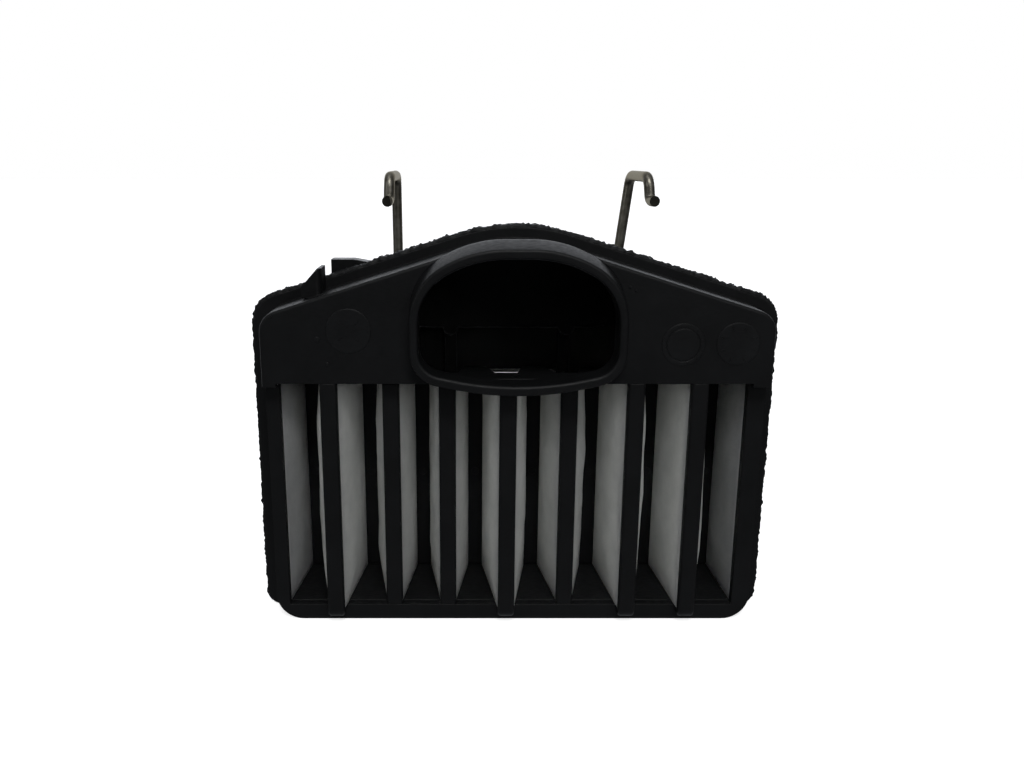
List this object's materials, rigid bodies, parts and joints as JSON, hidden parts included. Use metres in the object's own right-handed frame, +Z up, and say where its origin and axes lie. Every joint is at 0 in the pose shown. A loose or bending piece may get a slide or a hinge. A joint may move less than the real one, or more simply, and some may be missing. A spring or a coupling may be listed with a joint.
{
  "type": "air filter",
  "caption": "Two-half plastic air filter with felt pleats, a D-shaped outlet collar and a tilting spring-wire bail.",
  "frame": {"origin": "centre of the flat underside, midway between the front and rear grille planes", "axes": "+Z up, outlet collar faces -Y, +X to the right seen from the front"},
  "size_m": [0.1196, 0.059, 0.1029],
  "materials": {
    "black_nylon": "satin moulded glass-filled nylon",
    "rear_nylon": "satin moulded glass-filled nylon",
    "weld_bead": "rough squeezed-out weld bead",
    "filter_felt": "soft white non-woven felt",
    "spring_wire": "drawn spring wire, slightly dull"
  },
  "bodies": {
    "housing": {"front_frame": "black_nylon", "outlet_collar": "black_nylon", "rear_shell": "rear_nylon", "vent_felt": "filter_felt", "weld_flash": "weld_bead", "front_floor": "black_nylon", "front_pleat_roof": "black_nylon", "front_bar_1": "black_nylon", "front_bar_2": "black_nylon", "front_bar_3": "black_nylon", "front_bar_4": "black_nylon", "front_bar_5": "black_nylon", "front_bar_6": "black_nylon", "front_bar_7": "black_nylon", "front_fold_bar_1": "black_nylon", "front_pleat_1": "filter_felt", "front_fold_bar_2": "black_nylon", "front_pleat_2": "filter_felt", "front_fold_bar_3": "black_nylon", "front_pleat_3": "filter_felt", "front_fold_bar_4": "black_nylon", "front_pleat_4": "filter_felt", "front_fold_bar_5": "black_nylon", "front_pleat_5": "filter_felt", "front_fold_bar_6": "black_nylon", "front_pleat_6": "filter_felt", "front_fold_bar_7": "black_nylon", "front_pleat_7": "filter_felt", "front_fold_bar_8": "black_nylon", "front_pleat_8": "filter_felt", "rear_floor": "black_nylon", "rear_pleat_roof": "black_nylon", "rear_bar_1": "black_nylon", "rear_bar_2": "black_nylon", "rear_bar_3": "black_nylon", "rear_bar_4": "black_nylon", "rear_bar_5": "black_nylon", "rear_bar_6": "black_nylon", "rear_bar_7": "black_nylon", "rear_fold_bar_1": "black_nylon", "rear_pleat_1": "filter_felt", "rear_fold_bar_2": "black_nylon", "rear_pleat_2": "filter_felt", "rear_fold_bar_3": "black_nylon", "rear_pleat_3": "filter_felt", "rear_fold_bar_4": "black_nylon", "rear_pleat_4": "filter_felt", "rear_fold_bar_5": "black_nylon", "rear_pleat_5": "filter_felt", "rear_fold_bar_6": "black_nylon", "rear_pleat_6": "filter_felt", "rear_fold_bar_7": "black_nylon", "rear_pleat_7": "filter_felt", "rear_fold_bar_8": "black_nylon", "rear_pleat_8": "filter_felt", "bail_clip_left": "black_nylon", "bail_clip_right": "black_nylon"},
    "bail": {"wire_bail": "spring_wire"}
  },
  "joints": [
    {"name": "bail_tilt", "type": "hinge", "parent": "housing", "child": "bail", "pos_m": [0, 0.0225, 0.0686], "axis": [1, 0, 0], "range_deg": [0, 14]}
  ]
}
